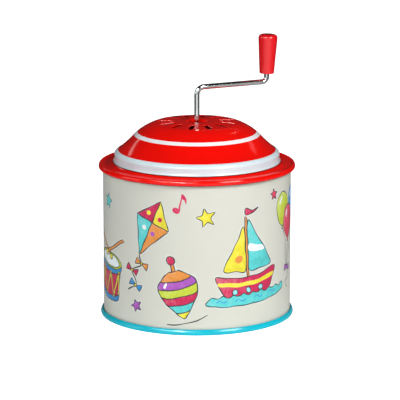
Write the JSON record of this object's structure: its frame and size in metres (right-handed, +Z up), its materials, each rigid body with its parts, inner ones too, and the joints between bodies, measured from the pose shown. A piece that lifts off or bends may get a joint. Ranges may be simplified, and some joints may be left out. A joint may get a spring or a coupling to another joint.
{
  "type": "hand-cranked music box",
  "caption": "Round printed tin can with a stepped red lid, a bent wire crank on top and a pinned-cylinder music movement inside.",
  "frame": {"origin": "centre of the can on the surface that it stands on", "axes": "+Z up along the can and the crank's axis, -Y towards the front of the can, +X to its right"},
  "size_m": [0.0764, 0.0764, 0.1078],
  "materials": {
    "printed_tin": "satin printed tinplate",
    "red_tin": "gloss",
    "blue_tin": "gloss",
    "red_plastic": "gloss",
    "chrome_wire": "bright",
    "steel": "plain",
    "brass": "plain",
    "zinc_casting": "as cast",
    "lead": "dull"
  },
  "bodies": {
    "housing": {"can_wall": "printed_tin", "lid": "red_tin", "base_pan": "blue_tin", "carrier_strap": "steel", "upper_bush": "brass", "lower_bush": "brass", "bedplate": "zinc_casting", "strap_screw_left": "steel", "strap_screw_right": "steel", "comb": "steel", "comb_screw_left": "steel", "comb_screw_right": "steel", "bass_weight_1": "lead", "bass_weight_2": "lead", "bass_weight_3": "lead", "bass_weight_4": "lead", "bass_weight_5": "lead", "bass_weight_6": "lead"},
    "crank_and_worm": {"worm_shaft": "brass", "crank": "chrome_wire", "thrust_washer": "brass", "shaft_clip": "steel"},
    "handle": {"knob": "red_plastic"},
    "cylinder": {"worm_wheel": "brass", "music_cylinder": "brass", "cylinder_cap": "brass", "cylinder_arbor": "steel", "arbor_clip": "steel"}
  },
  "joints": [
    {"name": "crank_turn", "type": "hinge", "parent": "housing", "child": "crank_and_worm", "pos_m": [0, 0, 0.0891], "axis": [0, 0, 1], "continuous": true},
    {"name": "knob_spin", "type": "hinge", "parent": "crank_and_worm", "child": "handle", "pos_m": [0.02726, 0.01359, 0.09235], "axis": [0.0312, 0.0156, 0.9994], "continuous": true},
    {"name": "cylinder_turn", "type": "hinge", "parent": "housing", "child": "cylinder", "pos_m": [0, 0.0086, 0.0525], "axis": [1, 0, 0], "continuous": true}
  ],
  "couplings": [
    {"joint": "cylinder_turn", "follows": "crank_turn", "ratio": 0.0625}
  ]
}
